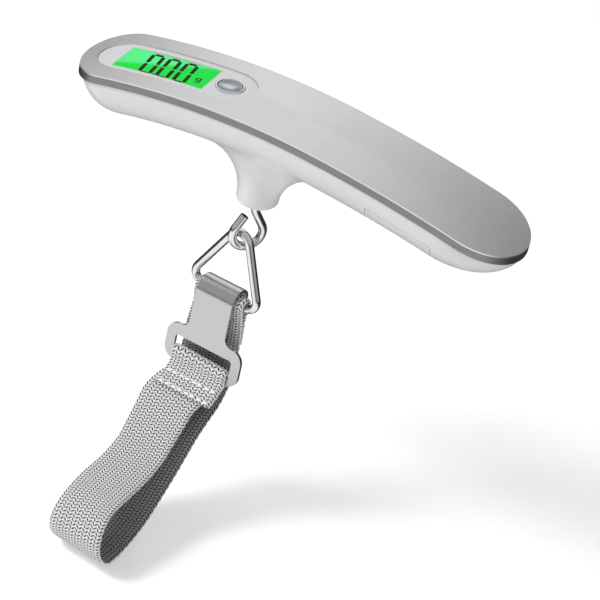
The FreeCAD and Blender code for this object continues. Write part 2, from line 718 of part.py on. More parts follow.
def make_leads():
    """Flat flex from the gauges to the board, and two battery leads along the handle."""
    top = size("beam_height") - size("beam_bottom") + 0.16
    board_under = arch_placement(BOARD_MIDDLE, BOARD_TOP + BOARD_THICK).multVec(Vector(22, 0, -0.3))
    corners = [Vector(9, 0, top), Vector(-6, 0, top), Vector(board_under.x, 0, board_under.z)]
    flex = strip_solid(corners, 0.25, 2.2)
    add_shape("gauge_flex", flex, Placement(Vector(0, -4.8, 0), Rotation()))
    leads = []
    for across in (-5.5, 5.5):
        depth = 3.4
        ends = (40, -8)
        first = Part.Arc(arch_point(ends[0], depth), arch_point(30, depth), arch_point(20, depth))
        second = Part.Arc(arch_point(20, depth), arch_point(6, depth), arch_point(ends[1], depth))
        lead = tube([first.toShape(), second.toShape()], 1.1)
        lead.translate(Vector(0, across, 0))
        leads.append(lead)
    add_shape("battery_leads", Part.makeCompound(leads))


def strip_solid(points, thick, width, first=0, last=None):
    """A flat strip across Y: part of a middle line in the XZ plane, with mitred corners."""
    normals = []
    for start, end in zip(points[:-1], points[1:]):
        along = (end - start).normalize()
        normals.append(Vector(-along.z, 0, along.x))
    sides = ([], [])
    for number, point in enumerate(points):
        near = [normals[index] for index in (number - 1, number) if 0 <= index < len(normals)]
        mitre = near[0] if len(near) == 1 else (near[0] + near[1]).normalize()
        stretch = thick / 2 / mitre.dot(near[0])
        sides[0].append(point + mitre * stretch)
        sides[1].append(point - mitre * stretch)
    kept = slice(first, None if last is None else last + 1)
    outline = sides[0][kept] + sides[1][kept][::-1]
    face = Part.Face(Part.makePolygon(outline + [outline[0]]))
    face.translate(Vector(0, -width / 2, 0))
    return face.extrude(Vector(0, width, 0))


# ---------------------------------------------------------------- ring, buckle and strap
HANG = Rotation(UP, size("hang_turn"))
APEX = HANG.multVec(Vector(-1.4, -1.5, -44.75))
RING_ROLL = -3.2


def hang_rotation(tilt, roll):
    lean = Rotation(Vector(1, 0, 0), -tilt).multiply(Rotation(Vector(0, 1, 0), -roll))
    return HANG.multiply(lean)


RING_PLACE = Placement(APEX, hang_rotation(size("ring_tilt"), RING_ROLL))
BAR = RING_PLACE.multVec(Vector(0, 0, -size("ring_height")))
BUCKLE_SHIFT = -0.6
BUCKLE_PLACE = Placement(BAR + HANG.multVec(Vector(BUCKLE_SHIFT, 0, 0)),
                         hang_rotation(size("buckle_tilt"), size("buckle_roll")))


def make_ring():
    half = size("ring_half")
    low = -size("ring_height")
    corners = [Vector(0, 0, 0), Vector(half, 0, low), Vector(-half, 0, low)]
    radii = [size("apex_bend"), size("corner_bend"), size("corner_bend")]
    add_shape("triangle_ring", tube(rounded_path(corners, radii, closed=True), size("wire")), RING_PLACE)


def make_buckle():
    """Pressed plate: a curl over the ring's bar, a shank, two round ears and a slot."""
    thick = size("buckle_thick")
    inside = size("curl_radius")
    outside = inside + thick
    end = size("buckle_end")
    lip = math.radians(-12)
    lip_way = Vector(0, math.cos(lip), math.sin(lip))
    profile = [
        Part.Arc(Vector(0, -outside, 0), Vector(0, 0, outside), lip_way * outside).toShape(),
        Part.makeLine(lip_way * outside, lip_way * inside),
        Part.Arc(lip_way * inside, Vector(0, 0, inside), Vector(0, -inside, 0)).toShape(),
        Part.makeLine(Vector(0, -inside, 0), Vector(0, -inside, -end)),
        Part.makeLine(Vector(0, -inside, -end), Vector(0, -outside, -end)),
        Part.makeLine(Vector(0, -outside, -end), Vector(0, -outside, 0)),
    ]
    ear = size("ear_half")
    sheet_face = Part.Face(Part.Wire(profile))
    sheet_face.translate(Vector(-ear, 0, 0))
    metal = sheet_face.extrude(Vector(2 * ear, 0, 0))
    shank = size("buckle_half")
    ear_top = -(size("slot_top") - 4.2)
    outline = [Vector(shank, 0, outside + 1), Vector(shank, 0, ear_top), Vector(ear, 0, ear_top),
               Vector(ear, 0, -end), Vector(-ear, 0, -end), Vector(-ear, 0, ear_top),
               Vector(-shank, 0, ear_top), Vector(-shank, 0, outside + 1)]
    radii = [0.01, 3, 4.4, 4.4, 4.4, 4.4, 3, 0.01]
    metal = metal.common(front_prism(outline, radii, outside + 2))
    slot_half = size("slot_half")
    slot = [Vector(-slot_half, 0, -size("slot_top")), Vector(slot_half, 0, -size("slot_top")),
            Vector(slot_half, 0, -size("slot_bottom")), Vector(-slot_half, 0, -size("slot_bottom"))]
    metal = metal.cut(front_prism(slot, [1.2] * 4, outside + 2))
    add_shape("buckle_plate", metal, BUCKLE_PLACE)


def front_prism(outline, radii, reach):
    face = Part.Face(Part.Wire(rounded_path(outline, radii, closed=True)))
    face.translate(Vector(0, -reach, 0))
    return face.extrude(Vector(0, 2 * reach, 0))


# Side view of the webbing's middle line: (forward of the neck's axis, height).
BACK_RUN = ((3.3, -90), (3.3, -100), (5.5, -107.5), (8.5, -113.2), (14, -116.4), (19, -120.6),
            (24.2, -127), (29.5, -133), (35.6, -139.2), (41.6, -144.8), (49, -148.8), (55.5, -151))
BEND = ((60, -151.4), (64, -148.2), (66.8, -144), (67.4, -139.5), (64.8, -135))
FRONT_RUN = ((59, -132.4), (50.5, -131.2), (41, -128.8), (33, -125.2), (28, -120.8),
             (23.6, -116), (18.6, -112.2), (13.2, -109.4), (10.3, -107.1), (9.1, -104.4))
FLAP = ((16.8, -109.55), (14.3, -108.2), (12.2, -106.2), (11.4, -104.2))
WEB_SHIFT = -3.8
FLAP_SHIFT = -2.9


def webbing(name, route, width, first=0, last=None, shift=WEB_SHIFT):
    """A strap run across the hang frame, from its side view; the route's rest sets the end mitres."""
    points = [Vector(forward, 0, height) for forward, height in route]
    solid = strip_solid(points, size("web_thick"), width, first, last)
    solid.rotate(Vector(0, 0, 0), UP, -90)
    solid.translate(Vector(shift, 0, 0))
    add_shape(name, solid, Placement(Vector(0, 0, 0), HANG))


def make_strap():
    width = size("web_width")
    thick = 1.15
    loop_radius = size("wire") / 2 + 0.08
    loop_width = 17
    loop = Part.makeCylinder(loop_radius + thick, loop_width, Vector(-loop_width / 2, 0, 0), Vector(1, 0, 0))
    tail = Part.makeBox(loop_width, 2 * thick, 14.5, Vector(-loop_width / 2, -thick, -14.5))
    loop = loop.fuse(tail).cut(Part.makeCylinder(loop_radius, 20, Vector(-10, 0, 0), Vector(1, 0, 0)))
    loop.translate(Vector(-0.4, 0, 0))
    add_shape("strap_bar_loop", loop.removeSplitter(), Placement(BAR, RING_PLACE.Rotation))
    route = BACK_RUN + BEND + FRONT_RUN
    back_end = len(BACK_RUN) - 1
    bend_end = back_end + len(BEND)
    webbing("strap_back_run", route, width, 0, back_end)
    webbing("strap_bottom_bend", route, width, back_end, bend_end)
    webbing("strap_front_run", route, width, bend_end)
    webbing("strap_flap", FLAP, width, shift=FLAP_SHIFT)
    make_strap_eye(width, size("web_thick"))


def make_strap_eye(width, thick):
    """The webbing folded over the buckle's lower bar, through its slot."""
    front = -(size("curl_radius") + size("buckle_thick") + 0.1)
    back = -(size("curl_radius") - 0.1)
    low = -(size("buckle_end") + 0.3)
    high = -(size("slot_bottom") - 0.3)
    outer = Part.makeBox(width, back - front + 2 * thick, high + thick - low,
                         Vector(-width / 2, front - thick, low))
    inner = Part.makeBox(width, back - front, high - low, Vector(-width / 2, front, low))
    add_shape("strap_eye", outer.cut(inner), BUCKLE_PLACE)


# ---------------------------------------------------------------- build, check and write
def build():
    make_top_plate()
    make_upper_frame()
    make_housing()
    make_housing_screws()
    make_window()
    make_display_stack()
    make_board()
    make_button()
    make_load_cell()
    make_hook()
    make_battery()
    make_leads()
    make_ring()
    make_buckle()
    make_strap()
    doc.recompute()


def write_pieces():
    for item in doc.Objects:
        if "Invalid" in item.State or "Error" in item.State:
            raise RuntimeError(f"{item.Label} failed: {item.State}")
    for piece in pieces:
        if piece.Shape.isNull() or not piece.Shape.isValid() or not piece.Shape.Solids:
            raise RuntimeError(f"{piece.Label} has no valid solid")
    os.makedirs("parts", exist_ok=True)
    for piece in pieces:
        piece.Shape.exportStep(f"parts/{piece.Label}.step")
        print(piece.Label, len(piece.Shape.Solids), round(piece.Shape.Volume))


build()
write_pieces()
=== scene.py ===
"""Hanging luggage scale: its looks, webbing, floor, light and camera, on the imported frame.

Sizes and places are millimetres in the CAD frame, and MM turns them into Blender's metres. Only
the floor's extent and the lamps are in metres. Tones and strengths are Blender's own.
"""
import math

import bpy
import bmesh
from mathutils import Matrix, Vector


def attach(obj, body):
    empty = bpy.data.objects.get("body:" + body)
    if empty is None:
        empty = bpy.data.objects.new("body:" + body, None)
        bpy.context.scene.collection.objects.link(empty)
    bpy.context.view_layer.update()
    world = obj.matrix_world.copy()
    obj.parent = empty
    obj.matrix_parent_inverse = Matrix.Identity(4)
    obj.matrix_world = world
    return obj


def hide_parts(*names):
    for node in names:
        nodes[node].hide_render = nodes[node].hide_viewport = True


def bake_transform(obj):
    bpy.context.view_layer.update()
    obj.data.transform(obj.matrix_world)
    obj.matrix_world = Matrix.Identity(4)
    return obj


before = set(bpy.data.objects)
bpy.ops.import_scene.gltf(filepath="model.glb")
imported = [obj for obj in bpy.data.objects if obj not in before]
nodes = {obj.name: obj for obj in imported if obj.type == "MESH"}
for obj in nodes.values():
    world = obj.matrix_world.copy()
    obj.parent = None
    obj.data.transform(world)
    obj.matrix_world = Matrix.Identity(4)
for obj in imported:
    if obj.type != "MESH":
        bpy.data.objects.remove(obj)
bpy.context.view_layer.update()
MM = 0.001


# ---------------------------------------------------------------- where things are
# These repeat the CAD part's own sizes and places.
ARCH_RADIUS = 250.0  # of the plate's arch at its display end

# The hanging parts are turned from the handle, so that their front faces a little towards -X.
HANG = math.radians(-7)
LATERAL = Vector((math.cos(HANG), math.sin(HANG), 0))
FORWARD = Vector((math.sin(HANG), -math.cos(HANG), 0))
UP = Vector((0, 0, 1))

RING_TILT, RING_ROLL = 3.5, -3.2
RING_APEX = (-1.4, -1.5, -44.75)
RING_HEIGHT = 30.3  # from the apex down to the bar
RING_WIRE = 2.9
BUCKLE_TILT, BUCKLE_ROLL = 5, 2.5
BUCKLE_SHIFT = -0.6  # sideways, from the middle of the bar


def turned(tilt, roll):
    """The rotation of a hanging part: its lower end tilted forward, then rolled in its own plane."""
    return (Matrix.Rotation(HANG, 3, "Z")
            @ Matrix.Rotation(math.radians(-tilt), 3, "X")
            @ Matrix.Rotation(math.radians(-roll), 3, "Y"))


APEX = Matrix.Rotation(HANG, 3, "Z") @ Vector(RING_APEX)
BAR = APEX + turned(RING_TILT, RING_ROLL) @ Vector((0, 0, -RING_HEIGHT))
BUCKLE_TURN = turned(BUCKLE_TILT, BUCKLE_ROLL)
BUCKLE_AT = BAR + LATERAL * BUCKLE_SHIFT


def arch_place(length, depth=0):
    """Matrix of a spot on the display end: X along the arch, Y across, Z square to the plate."""
    angle = length / ARCH_RADIUS
    outward = Vector((math.sin(angle), 0, math.cos(angle)))
    spot = Vector((0, 0, -ARCH_RADIUS)) + outward * (ARCH_RADIUS - depth)
    return Matrix.Translation(spot) @ Matrix.Rotation(angle, 4, "Y")


# ---------------------------------------------------------------- node materials
class Nodes:
    """Short helpers for one material's node tree."""

    def __init__(self, name, metallic=0.0, roughness=0.5, **sockets):
        self.material = bpy.data.materials.new(name)
        self.material.use_nodes = True
        self.tree = self.material.node_tree
        self.shader = self.tree.nodes["Principled BSDF"]
        self.shader.inputs["Metallic"].default_value = metallic
        self.shader.inputs["Roughness"].default_value = roughness
        for key, value in sockets.items():
            self.shader.inputs[key.replace("_", " ")].default_value = value
        self.coordinates = self.tree.nodes.new("ShaderNodeTexCoord").outputs["Object"]

    def link(self, source, target):
        self.tree.links.new(source, target)

    def math(self, operation, first, second=None, third=None):
        node = self.tree.nodes.new("ShaderNodeMath")
        node.operation = operation
        for number, value in enumerate((first, second, third)):
            if value is None:
                continue
            if isinstance(value, (int, float)):
                node.inputs[number].default_value = value
            else:
                self.link(value, node.inputs[number])
        return node.outputs[0]

    def bars(self, value):
        """Rounded bars, one for each whole step of the value."""
        return self.math("ABSOLUTE", self.math("SINE", self.math("MULTIPLY", value, math.pi)))

    def attribute(self, name):
        node = self.tree.nodes.new("ShaderNodeAttribute")
        node.attribute_name = name
        return node.outputs["Fac"]

    def noise(self, scale, detail, stretch=(1, 1, 1), roughness=0.5):
        mapping = self.tree.nodes.new("ShaderNodeMapping")
        mapping.inputs["Scale"].default_value = stretch
        self.link(self.coordinates, mapping.inputs["Vector"])
        node = self.tree.nodes.new("ShaderNodeTexNoise")
        node.inputs["Scale"].default_value = scale
        node.inputs["Detail"].default_value = detail
        node.inputs["Roughness"].default_value = roughness
        self.link(mapping.outputs[0], node.inputs["Vector"])
        return node.outputs["Fac"]

    def spread(self, value, low, high, low_in=0.0, high_in=1.0):
        node = self.tree.nodes.new("ShaderNodeMapRange")
        node.inputs["From Min"].default_value = low_in
        node.inputs["From Max"].default_value = high_in
        node.inputs["To Min"].default_value = low
        node.inputs["To Max"].default_value = high
        self.link(value, node.inputs["Value"])
        return node.outputs[0]

    def ramp(self, value, *stops):
        node = self.tree.nodes.new("ShaderNodeValToRGB")
        elements = node.color_ramp.elements
        while len(elements) < len(stops):
            elements.new(0.5)
        for element, (position, colour) in zip(elements, stops):
            element.position = position
            element.color = (*colour, 1)
        self.link(value, node.inputs["Fac"])
        return node.outputs["Color"]

    def colour(self, output):
        self.link(output, self.shader.inputs["Base Color"])

    def roughness(self, output):
        self.link(output, self.shader.inputs["Roughness"])

    def bump(self, height, strength, distance):
        node = self.tree.nodes.new("ShaderNodeBump")
        node.inputs["Strength"].default_value = strength
        node.inputs["Distance"].default_value = distance
        self.link(height, node.inputs["Height"])
        self.link(node.outputs["Normal"], self.shader.inputs["Normal"])


def grey(value):
    return (value, value, value)


ALONG_HANDLE = (0.03, 1, 1)  # stretches a pattern lengthwise


def brushed_plate():
    """Bright aluminium, finely brushed along the handle."""
    look = Nodes("brushed_plate", 1.0, 0.38, Anisotropic=0.3)
    streaks = look.noise(1500, 3, ALONG_HANDLE, 0.55)
    patches = look.noise(14, 2)
    look.colour(look.ramp(streaks, (0.3, grey(0.70)), (0.7, grey(0.75))))
    streak_share, patch_share, smoothest = 0.08, 0.03, 0.31
    fine = look.math("MULTIPLY", streaks, streak_share)
    broad = look.math("MULTIPLY", patches, patch_share)
    look.roughness(look.math("ADD", look.math("ADD", fine, broad), smoothest))
    look.bump(streaks, 0.05, 0.00002)
    return look.material


def band_metal():
    """The satin side band: darker anodised metal with lengthwise lines."""
    look = Nodes("side_band", 0.9, 0.34)
    lines = look.noise(700, 3, (0.03, 1, 1.4), 0.5)
    look.colour(look.ramp(lines, (0.3, grey(0.22)), (0.7, grey(0.27))))
    look.roughness(look.spread(lines, 0.28, 0.42))
    look.bump(lines, 0.08, 0.00003)
    return look.material


def white_shell():
    """Injection-moulded plastic: soft gloss and a barely felt grain."""
    look = Nodes("white_shell", 0.0, 0.3, Coat_Weight=0.25, Coat_Roughness=0.12)
    grain = look.noise(1500, 2)
    patches = look.noise(25, 3)
    look.colour(look.ramp(patches, (0.3, grey(0.70)), (0.7, grey(0.725))))
    look.roughness(look.spread(grain, 0.26, 0.36))
    look.bump(grain, 0.05, 0.00003)
    return look.material


def plastic(name, low, high, rough, scale=700, specular=0.5):
    """Plain plastic, board or rubber, mottled between two tones."""
    look = Nodes(name, 0.0, rough, Specular_IOR_Level=specular)
    grain = look.noise(scale, 3)
    look.colour(look.ramp(grain, (0.35, low), (0.65, high)))
    look.roughness(look.spread(grain, rough - 0.08, rough + 0.08))
    look.bump(grain, 0.12, 0.00005)
    return look.material


def metal(name, low, high, rough, scale=500, stretch=(1, 1, 1)):
    """Bare or plated metal with slight wear, between two tones."""
    look = Nodes(name, 1.0, rough)
    wear = look.noise(scale, 4, stretch, 0.6)
    look.colour(look.ramp(wear, (0.35, low), (0.65, high)))
    look.roughness(look.spread(wear, max(0.02, rough - 0.06), rough + 0.06))
    look.bump(wear, 0.06, 0.00003)
    return look.material


def display_green():
    """Lit green glass whose far left corner, past a slanting line, is a painted reflection."""
    look = Nodes("display_green", 0.0, 0.6, Specular_IOR_Level=0.0)
    split = look.tree.nodes.new("ShaderNodeSeparateXYZ")
    look.link(look.coordinates, split.inputs[0])
    # Painted reflection: past this slanting line the green, and its glow, turn paler.
    line_slope, line_start, line_end = -0.40, 0.0168, 0.0186
    along = look.math("MULTIPLY", split.outputs["X"], line_slope)
    past_reflection_edge = look.math("ADD", along, split.outputs["Y"])
    pale = look.spread(past_reflection_edge, 0, 1, line_start, line_end)
    green_with_painted_reflection = look.ramp(pale, (0.0, (0.0, 0.42, 0.028)), (1.0, (0.05, 0.50, 0.14)))
    look.colour(green_with_painted_reflection)
    look.link(green_with_painted_reflection, look.shader.inputs["Emission Color"])
    look.shader.inputs["Emission Strength"].default_value = 0.75
    mottle = look.noise(900, 2)
    look.roughness(look.spread(mottle, 0.55, 0.65))
    return look.material


def clear_lens():
    """A nearly invisible window with a faint haze."""
    look = Nodes("clear_lens", 0.0, 0.06, Alpha=0.015, IOR=1.22)
    haze = look.noise(300, 2)
    look.colour(look.ramp(haze, (0.3, grey(0.9)), (0.7, grey(0.96))))
    look.roughness(look.spread(haze, 0.04, 0.09))
    return look.material


def weave(name, dark, light):
    """Herringbone webbing: rows of yarn that zigzag across the width, with dark gaps.

    It reads three attributes of the mesh: the places across and along the webbing in mm, and
    a painted light level: 1 on the outer face, falling to 0 where the inner face is painted dark.
    """
    look = Nodes(name, 0.0, 0.62, Sheen_Weight=0.25, Sheen_Roughness=0.4)
    column, row = 1.35, 1.15  # mm across one arm of the zigzag, and from yarn to yarn
    across = look.attribute("across")
    along = look.attribute("along")
    uneven = look.math("SUBTRACT", look.noise(140, 2), 0.5)
    wobble = look.math("MULTIPLY", uneven, 0.7)
    zigzag = look.math("DIVIDE", look.math("PINGPONG", across, column), column)
    rows = look.math("DIVIDE", look.math("ADD", along, wobble), row)
    yarn = look.bars(look.math("MULTIPLY_ADD", zigzag, 0.85, rows))
    ribs = look.bars(look.math("DIVIDE", across, column))
    ribs = look.math("POWER", ribs, 0.8)
    gap = look.math("SUBTRACT", 1.0, look.math("POWER", yarn, 1.6))
    height = look.math("SUBTRACT", 1.0, look.math("MULTIPLY", gap, ribs))
    fibre = look.noise(2600, 2)
    height = look.math("MULTIPLY_ADD", look.math("SUBTRACT", fibre, 0.5), 0.35, height)
    # Painted shade: where the mesh's painted light level is 0, the inner face keeps only this share of
    # its tone.
    painted_inner_shade = 0.58
    inner = look.math("MULTIPLY_ADD", look.attribute("outside"), 0.42, painted_inner_shade)
    weave_with_painted_shade = look.math("MULTIPLY", height, inner)
    middle = tuple(0.42 * (a + b) for a, b in zip(dark, light))
    look.colour(look.ramp(weave_with_painted_shade, (0.20, dark), (0.55, middle), (0.92, light)))
    look.roughness(look.spread(fibre, 0.5, 0.75))
    look.bump(height, 0.9, 0.00028)
    return look.material


def thread_white():
    """White sewing thread, with a faint painted glow of its own."""
    look = Nodes("stitch_thread", 0.0, 0.55, Sheen_Weight=0.2)
    twist = look.noise(2200, 2)
    look.colour(look.ramp(twist, (0.3, grey(0.88)), (0.7, grey(0.97))))
    # Painted glow: the thread gives off a little light, though it is no lamp.
    look.shader.inputs["Emission Color"].default_value = (1, 1, 1, 1)
    look.shader.inputs["Emission Strength"].default_value = 0.12
    look.bump(twist, 0.3, 0.0001)
    return look.material


LOOKS = {
    "plate": brushed_plate(),
    "band": band_metal(),
    "shell": white_shell(),
    "panel": plastic("panel_print", (0.58, 0.59, 0.60), (0.66, 0.67, 0.68), 0.4, 1600),
    "green": display_green(),
    "lens": clear_lens(),
    "chrome": metal("polished_chrome", grey(0.74), grey(0.80), 0.10, 300),
    "button": metal("button_chrome", (0.44, 0.48, 0.54), (0.52, 0.56, 0.62), 0.11, 300),
    "ring": metal("button_ring", grey(0.88), grey(0.96), 0.2, 500),
    "buckle": metal("satin_nickel", grey(0.56), grey(0.58), 0.26, 260),
    "zinc": metal("zinc_plate", (0.56, 0.56, 0.53), (0.66, 0.66, 0.63), 0.3),
    "beam": metal("milled_beam", grey(0.68), grey(0.76), 0.28, 900, (0.06, 1, 1)),
    "spring": metal("contact_spring", (0.66, 0.6, 0.45), (0.74, 0.68, 0.52), 0.22),
    "cell": metal("cell_steel", grey(0.66), grey(0.74), 0.2),
    "board": plastic("solder_mask", (0.02, 0.16, 0.06), (0.03, 0.21, 0.08), 0.35, 400),
    "dark": plastic("dark_moulding", grey(0.025), grey(0.04), 0.45),
    "rubber": plastic("zebra_rubber", grey(0.03), (0.06, 0.05, 0.05), 0.7, 1200),
    "film": plastic("amber_film", (0.48, 0.24, 0.04), (0.58, 0.3, 0.06), 0.3),
    "bush": plastic("natural_bush", (0.72, 0.71, 0.66), (0.78, 0.77, 0.72), 0.4),
    "guide": plastic("light_guide", (0.45, 0.62, 0.40), (0.52, 0.7, 0.46), 0.3),
    "lead": plastic("lead_jacket", (0.42, 0.03, 0.03), (0.5, 0.05, 0.04), 0.45),
    "web": weave("webbing_weave", grey(0.02), grey(0.84)),
    "thread": thread_white(),
    "ink": plastic("display_ink", grey(0.003), grey(0.006), 0.6, specular=0.0),
}
NODE_LOOKS = {
    "plate": ("top_plate",),
    "band": ("upper_frame",),
    "shell": ("lower_housing", "battery_door"),
    "panel": ("display_panel",),
    "green": ("lcd_glass",),
    "lens": ("window_lens",),
    "chrome": ("hook", "triangle_ring"),
    "button": ("power_button",),
    "ring": ("button_ring",),
    "buckle": ("buckle_plate",),
    "zinc": ("housing_screws", "board_screws", "beam_screws", "thrust_washer", "hook_nut"),
    "beam": ("load_cell",),
    "spring": ("contact_negative", "contact_positive"),
    "cell": ("coin_cell",),
    "board": ("main_board",),
    "dark": ("controller_chip", "tact_switch", "battery_tray"),
    "rubber": ("zebra_strips",),
    "film": ("strain_gauges", "gauge_flex"),
    "bush": ("neck_bush",),
    "guide": ("backlight_panel",),
    "lead": ("battery_leads",),
}


def dress_nodes():
    """Gives each CAD node its one material."""
    for look, names in NODE_LOOKS.items():
        for name in names:
            mesh = nodes[name].data
            mesh.materials.clear()
            mesh.materials.append(LOOKS[look])


def soften(name, width):
    """Rounds a CAD node's sharp edges a little, without changing its mesh."""
    bevel = nodes[name].modifiers.new("soft_edges", "BEVEL")
    bevel.width = width * MM
    bevel.segments = 3
    bevel.limit_method = "ANGLE"
    bevel.angle_limit = math.radians(35)


# ---------------------------------------------------------------- building meshes
def new_piece(name, vertices, faces, material, smooth=True):
    mesh = bpy.data.meshes.new(name)
    mesh.from_pydata([tuple(Vector(point) * MM) for point in vertices], [], faces)
    mesh.update()
    mesh.materials.append(material)
    for polygon in mesh.polygons:
        polygon.use_smooth = smooth
    piece = bpy.data.objects.new(name, mesh)
    bpy.context.scene.collection.objects.link(piece)
    return piece

CURVE_PARTS = 24  # short straight parts between two points of a route


def smooth_route(points, step):
    """Evenly spaced rows of the smooth curve through the points, and the curve's length.

    A point's first two values are its place in the plane of the curve, and set the length.
    """
    dense = []
    for number in range(len(points) - 1):
        before = points[max(number - 1, 0)]
        here, after = points[number], points[number + 1]
        beyond = points[min(number + 2, len(points) - 1)]
        for part in range(CURVE_PARTS):
            share = part / CURVE_PARTS
            dense.append([0.5 * (2 * h + (a - b) * share + (2 * b - 5 * h + 4 * a - c) * share ** 2
                                 + (3 * h - b - 3 * a + c) * share ** 3)
                          for b, h, a, c in zip(before, here, after, beyond)])
    dense.append(list(points[-1]))
    lengths = [0.0]
    for first, second in zip(dense[:-1], dense[1:]):
        lengths.append(lengths[-1] + math.hypot(second[0] - first[0], second[1] - first[1]))
    count = max(2, round(lengths[-1] / step))
    even, index = [], 0
    for number in range(count + 1):
        want = lengths[-1] * number / count
        while index < len(lengths) - 2 and lengths[index + 1] < want:
            index += 1
        share = (want - lengths[index]) / max(lengths[index + 1] - lengths[index], 1e-9)
        share = min(max(share, 0), 1)
        even.append([a + (b - a) * share for a, b in zip(dense[index], dense[index + 1])])
    return even, lengths[-1]


def row_frame(rows, number):
    """Centre, cross direction, outward normal and tangent of a webbing row."""
    forward, height, lateral, roll = rows[number][:4]
    before, after = rows[max(number - 1, 0)], rows[min(number + 1, len(rows) - 1)]
    way = Vector((after[0] - before[0], after[1] - before[1])).normalized()
    tangent = FORWARD * way.x + UP * way.y
    normal = LATERAL.cross(tangent).normalized()
    roll = math.radians(roll)
    side_way = LATERAL * math.cos(roll) + tangent * math.sin(roll)
    return FORWARD * forward + UP * height + LATERAL * lateral, side_way, normal, tangent


def tube_faces(rings, sides):
    """Faces of a closed tube whose vertices come ring by ring, with a cap at each end."""
    faces = side_faces(rings, sides)
    faces.append(tuple(range(sides))[::-1])
    faces.append(tuple(range((rings - 1) * sides, rings * sides)))
    return faces


def side_faces(rings, sides):
    """Four-sided faces between each ring of vertices and the next."""
    faces = []
    for ring in range(rings - 1):
        for number in range(sides):
            beside = (number + 1) % sides
            faces.append((ring * sides + number, ring * sides + beside,
                          (ring + 1) * sides + beside, (ring + 1) * sides + number))
    return faces


# ---------------------------------------------------------------- the webbing
WIDTH, THICK = 21.6, 1.35
ROW_STEP = 0.3  # from one row of vertices to the next
COLUMNS = 36
SCALLOP, SCALLOP_PITCH = 0.10, 2.4  # the small waves of the two edges
EDGE_THICKNESS = 0.42  # share of the thickness that is left at the very edge

# The routes, given point by point. The back run, (forward, height), goes down behind the buckle.
RUN_LATERAL = -3.8
RUN_TOP = -100
RUN_TAPER = 0.016  # width lost for each mm below the run's top
BACK_RUN = ((3.5, -100), (5.5, -107.5), (8.9, -112.8), (13.8, -116.6), (19, -121), (24.2, -127),
            (29.5, -133), (35.6, -139.2), (41.6, -144.8), (49, -148.9), (55.5, -151))
# The bend at the bottom is (forward, height, lateral), and narrows as it moves sideways.
BEND_WIDTH = WIDTH - 0.9
BEND_TAPER = 1.3  # width lost for each mm sideways
BEND = ((55.5, -151, -3.8), (60.4, -151.1, -3.8), (64.2, -148.2, -3.8), (66.8, -144, -3.8),
        (67.2, -139.4, -4.1), (64.4, -135.1, -4.8), (59, -132.5, -5.5))
# The front run is (forward, height, lateral, width), up to the buckle. At each point it is
# rolled a little further, and the painted shade on its inner face is a little lighter.
FRONT_ROLL, FRONT_PAINTED_LIGHT_STEP = 0.3, 0.04
FRONT_RUN = ((50.5, -131.2, -6.0, 19.0), (41, -129.6, -6.0, 18.6), (33, -126.2, -6.0, 18.6),
             (28, -121.2, -6.2, 19.0), (23.4, -116.2, -6.4, 19.6), (19.2, -112, -6.6, 20.2),
             (14.2, -109.3, -5.6, 20.8), (10.6, -106.8, -3.9, 21.2), (9.2, -103.8, -2.9, 21.6))
# The fold over the buckle's lower bar is (back, down, roll) in the buckle's own frame.
FOLD = ((-2.75, 25.3, 2.5), (-3.3, 24.0, 2.0), (-4.2, 23.6, 0), (-5.1, 24.0, -2.0),
        (-5.62, 25.3, -2.5), (-5.65, 28.0, -2.5))
# The sewn flap is (forward, height, lateral, roll).
FLAP = ((12.9, -105.8, -2.9, -2.2), (14.9, -107.9, -3.1, -2), (17.1, -109.6, -3.3, -2))
# Beside the ring's bar: (ahead of it, below it, lateral, roll, width, painted light on
# the inner face).
TAIL = ((-1.0, 15.5, -3.6, -1, 20.6, 1), (-1.0, 10.5, -3.6, -2, 20.4, 1),
        (-1.2, 6, -3.5, -3, 19.6, 1), (-1.9, 2.4, -3.4, -3.2, 19.4, 1))
LOOP_END = ((1.7, 2.8, -3.4, 3.2, 19.4, 1), (0.7, 7.0, -3.5, 3, 19.8, 1),
            (0.5, 12, -3.6, 2, 20.8, 0.9), (0.4, 18, -3.7, 1, WIDTH, 0.6))
LOOP_RADIUS = RING_WIRE / 2 + 0.12 + 0.7  # half the wire, a gap and about half the webbing
LOOP_FROM, LOOP_TO, LOOP_STEP = 190, -15, -24  # degrees over the bar, from behind it
LOOP_LATERAL, LOOP_ROLL, LOOP_WIDTH = -3.3, 3.2, 19.2


def webbing(name, route, start_along=0.0):
    """Flat webbing along (forward, height, lateral, roll in degrees, width, inner painted light)
    points.
    """
    rows, length = smooth_route(route, ROW_STEP)
    vertices = []
    values = {"across": [], "along": [], "outside": []}
    shares = [-1 + 2 * number / COLUMNS for number in range(COLUMNS + 1)]
    profile = [(share * side, side) for side in (1, -1) for share in shares]
    for number, row in enumerate(rows):
        width, inner_painted_light = row[4:]
        centre, side_way, normal, _ = row_frame(rows, number)
        along = start_along + length * number / (len(rows) - 1)
        ripple = SCALLOP * math.sin(2 * math.pi * along / SCALLOP_PITCH)
        for share, side in profile:
            edge = max(0.0, 1 - abs(share) ** 14)
            scallop = ripple * share ** 8 * (1 if share > 0 else -1)
            across = share * width / 2 + scallop
            lift = side * THICK / 2 * (EDGE_THICKNESS + (1 - EDGE_THICKNESS) * edge)
            vertices.append(centre + side_way * across + normal * lift)
            values["across"].append(share * WIDTH / 2)
            values["along"].append(along)
            # The inner face is painted dark as shade, by as much as the row's painted light value
            # says.
            values["outside"].append(1.0 if side > 0 else min(max(inner_painted_light, 0.0), 1.0))
    piece = new_piece(name, vertices, tube_faces(len(rows), len(profile)), LOOKS["web"])
    for label, numbers in values.items():
        layer = piece.data.attributes.new(label, "FLOAT", "POINT")
        layer.data.foreach_set("value", numbers)
    return piece, length, rows


def buckle_spot(back, down):
    """(forward, height, lateral) of a spot in the buckle's own frame."""
    spot = BUCKLE_AT + BUCKLE_TURN @ Vector((0, back, -down))
    return (spot.dot(FORWARD), spot.z, spot.dot(LATERAL))


